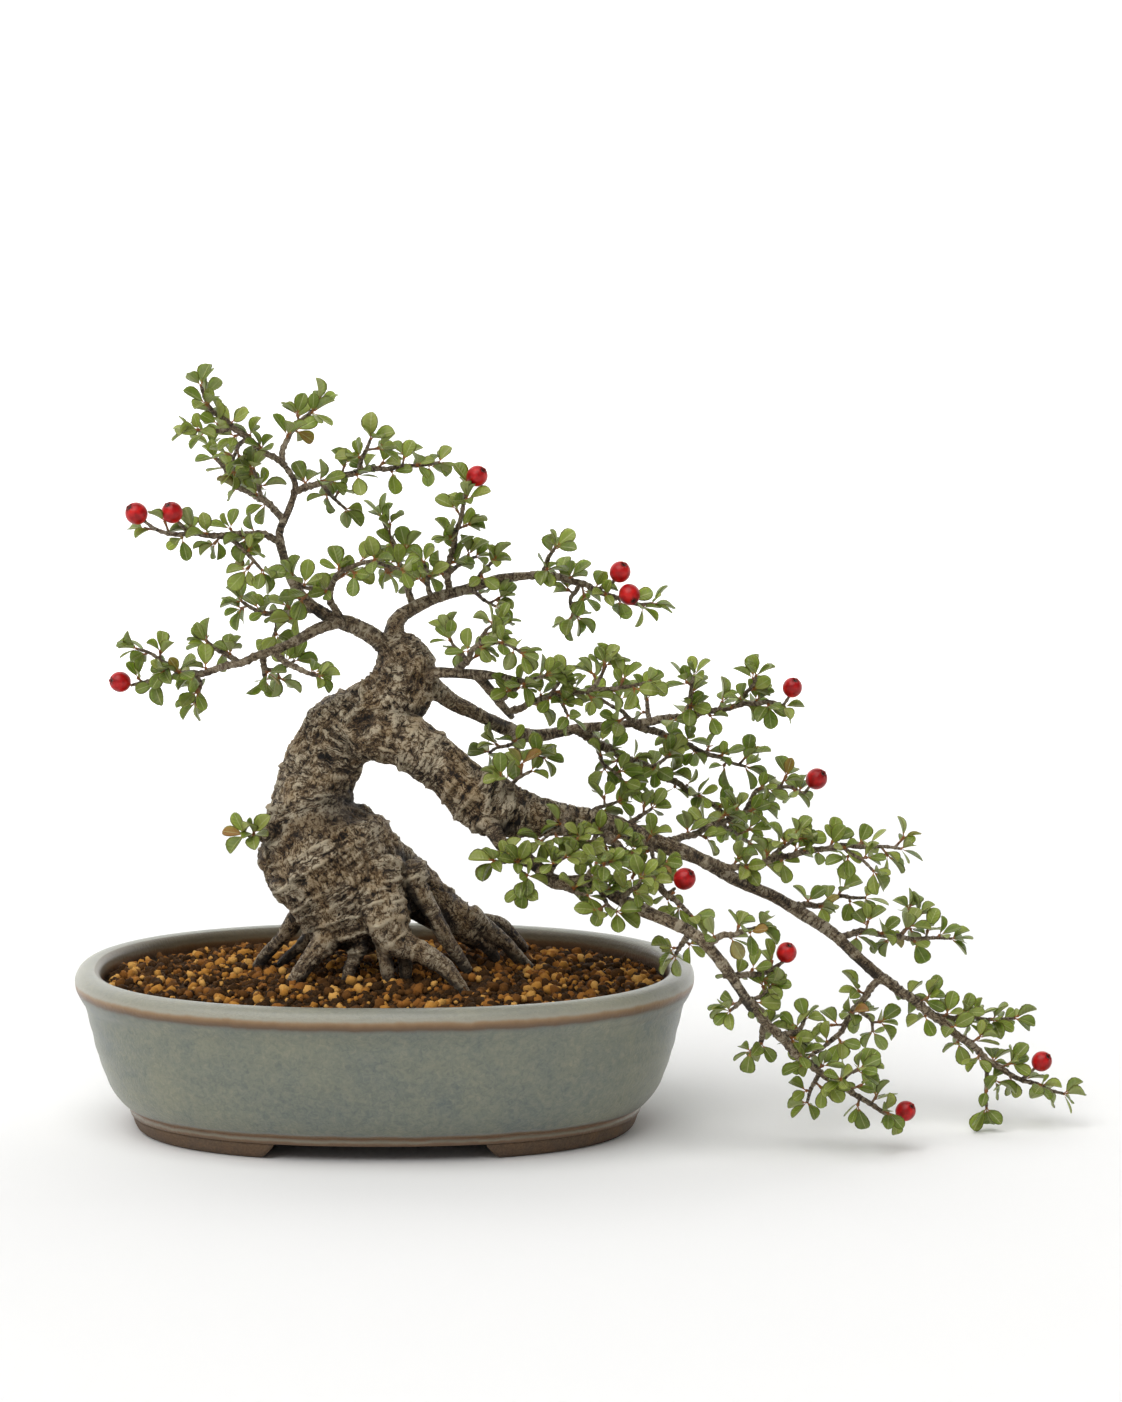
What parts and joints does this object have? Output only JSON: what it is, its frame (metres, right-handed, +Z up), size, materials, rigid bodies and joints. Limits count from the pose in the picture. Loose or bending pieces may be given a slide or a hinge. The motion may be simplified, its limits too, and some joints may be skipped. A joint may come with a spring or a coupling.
{
  "type": "bonsai tree in a pot",
  "caption": "Small-leaved berry-bearing bonsai of semi-cascade form with exposed roots, growing in gravel soil in a footed oval glazed pot.",
  "frame": {"origin": "on the table, under the middle of the whole object's outer box", "axes": "+X towards the cascading branch along the pot's length, -Y towards the viewer's front side, +Z up"},
  "size_m": [0.327, 0.155, 0.2478],
  "materials": {
    "pot_clay": "mottled celadon glaze, bare brown feet",
    "soil": "fired clay granules",
    "screen": "moulded plastic mesh",
    "clip": "anodised wire",
    "bark": "living bark, ridged",
    "leaf": "leathery leaf, semi-matt",
    "berry": "waxy fruit skin"
  },
  "bodies": {
    "root": {"pot": "pot_clay", "drain_screen_left": "screen", "screen_clip_left": "clip", "drain_screen_right": "screen", "screen_clip_right": "clip", "soil": "soil", "trunk": "bark", "cascade_limb": "bark", "lower_limb": "bark", "right_limb": "bark", "front_limb": "bark", "upper_limb": "bark", "apex_limb": "bark", "left_limb": "bark", "berry_1": "berry", "berry_2": "berry", "berry_3": "berry", "berry_4": "berry", "berry_5": "berry", "berry_6": "berry", "berry_7": "berry", "berry_8": "berry", "berry_9": "berry", "berry_10": "berry", "berry_11": "berry", "berry_12": "berry", "spray_apex_left": "leaf", "spray_apex_top": "leaf", "spray_apex_right": "leaf", "spray_crown_left": "leaf", "spray_left_high": "leaf", "spray_middle": "leaf", "spray_left_mid": "leaf", "spray_left_low": "leaf", "spray_upper_tip": "leaf", "spray_upper_post": "leaf", "spray_upper_left": "leaf", "spray_front_up": "leaf", "spray_front_tip": "leaf", "spray_front_down": "leaf", "spray_right_near": "leaf", "spray_right_low": "leaf", "spray_right_mid": "leaf", "spray_right_tip": "leaf", "spray_saddle": "leaf", "spray_fork": "leaf", "spray_cascade_back": "leaf", "spray_cascade_high": "leaf", "spray_cascade_mid": "leaf", "spray_cascade_right": "leaf", "spray_cascade_under": "leaf", "spray_cascade_tip": "leaf", "spray_under": "leaf", "spray_lower_upper": "leaf", "spray_lower_inner": "leaf", "spray_lower_mid": "leaf", "spray_lower_tip": "leaf", "spray_lower_left": "leaf", "spray_base": "leaf"}
  },
  "joints": []
}
